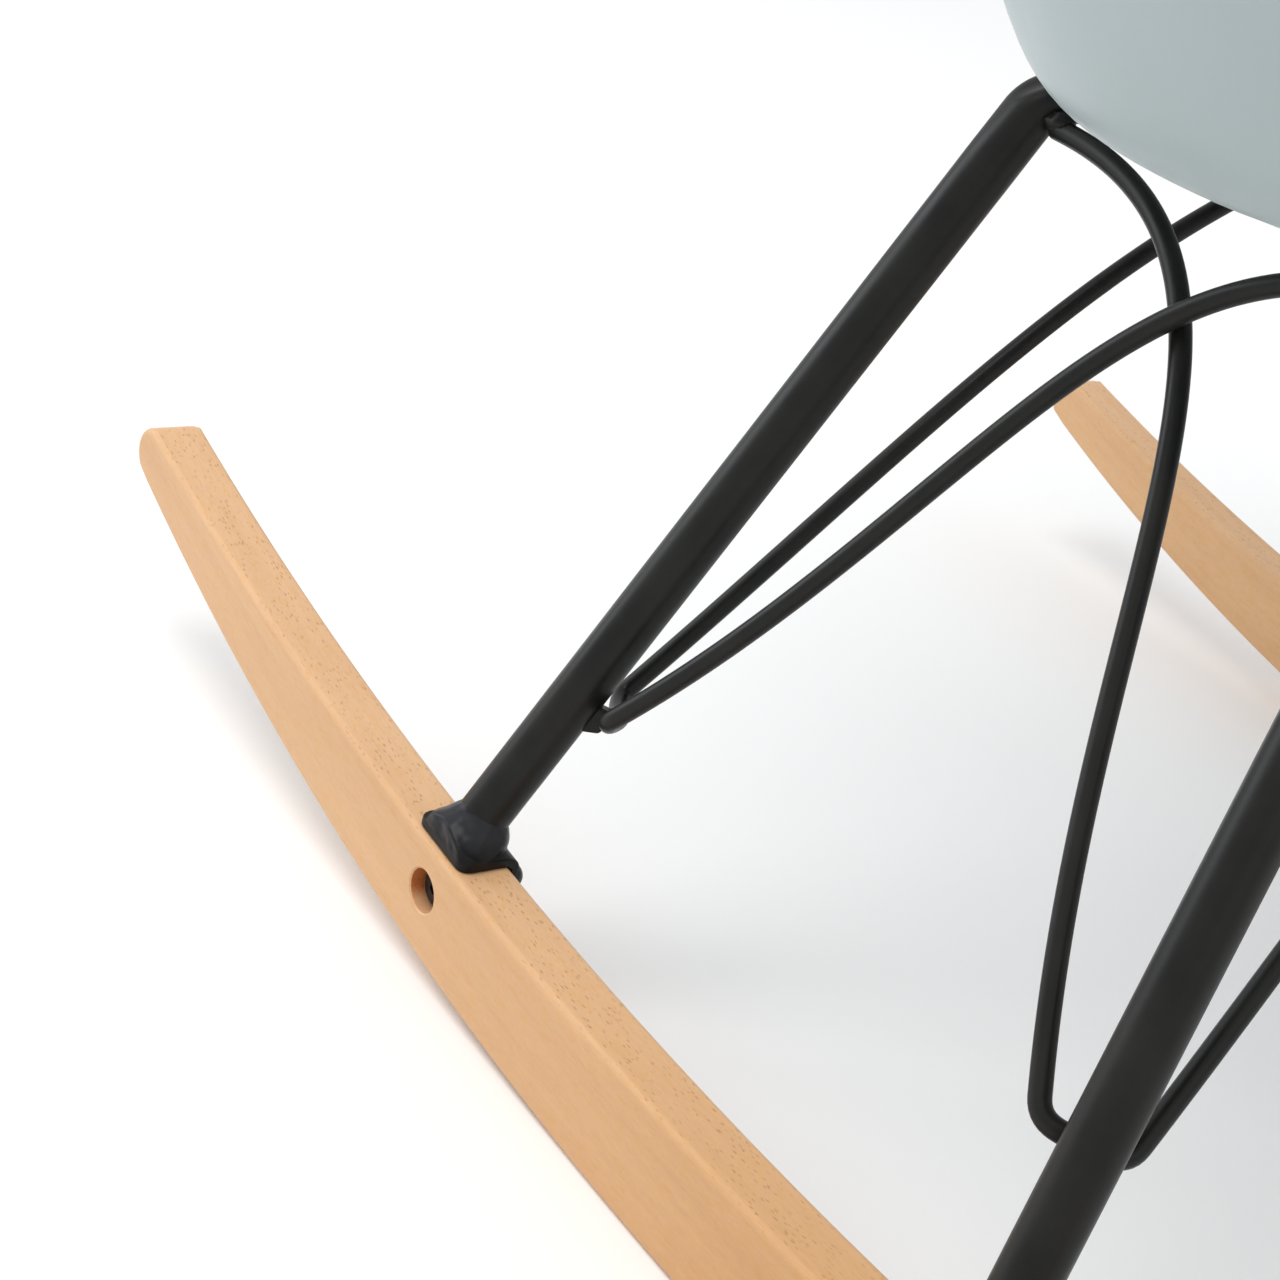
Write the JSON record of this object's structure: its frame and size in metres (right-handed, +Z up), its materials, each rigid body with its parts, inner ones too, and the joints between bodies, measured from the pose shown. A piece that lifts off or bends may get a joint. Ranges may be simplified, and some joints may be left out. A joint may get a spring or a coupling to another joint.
{
  "type": "rocking chair",
  "caption": "Rocking armchair: a moulded plastic bucket seat on splayed steel tube legs with wire bracing, bolted to two curved beech rockers.",
  "frame": {"origin": "on the floor, midway between the two rockers and midway between their tips", "axes": "+Z up; -Y towards the front of the chair; +X towards the sitter's left"},
  "size_m": [0.6094, 0.6996, 0.6988],
  "materials": {
    "shell": "satin moulded plastic, pale grey-blue, with a very fine texture",
    "steel": "satin black powder coat",
    "beech": "clear satin lacquer on pale straight-grained beech",
    "hardware": "black oxide",
    "rubber": "matt black",
    "brass": "turned brass"
  },
  "bodies": {
    "root": {"seat_shell": "shell", "rocker_left": "beech", "rocker_right": "beech", "leg_tube_rear_left": "steel", "brace_wire_rear_left": "steel", "brace_lug_rear_left": "steel", "saddle_bracket_rear_left": "steel", "rocker_bolt_rear_left": "hardware", "bolt_washer_rear_left": "hardware", "cap_nut_rear_left": "hardware", "mount_pad_rear_left": "rubber", "shell_insert_rear_left": "brass", "mount_screw_rear_left": "hardware", "leg_tube_rear_right": "steel", "brace_wire_rear_right": "steel", "brace_lug_rear_right": "steel", "saddle_bracket_rear_right": "steel", "rocker_bolt_rear_right": "hardware", "bolt_washer_rear_right": "hardware", "cap_nut_rear_right": "hardware", "mount_pad_rear_right": "rubber", "shell_insert_rear_right": "brass", "mount_screw_rear_right": "hardware", "leg_tube_front_left": "steel", "brace_wire_front_left": "steel", "brace_lug_front_left": "steel", "saddle_bracket_front_left": "steel", "rocker_bolt_front_left": "hardware", "bolt_washer_front_left": "hardware", "cap_nut_front_left": "hardware", "mount_pad_front_left": "rubber", "shell_insert_front_left": "brass", "mount_screw_front_left": "hardware", "leg_tube_front_right": "steel", "brace_wire_front_right": "steel", "brace_lug_front_right": "steel", "saddle_bracket_front_right": "steel", "rocker_bolt_front_right": "hardware", "bolt_washer_front_right": "hardware", "cap_nut_front_right": "hardware", "mount_pad_front_right": "rubber", "shell_insert_front_right": "brass", "mount_screw_front_right": "hardware"}
  },
  "joints": []
}
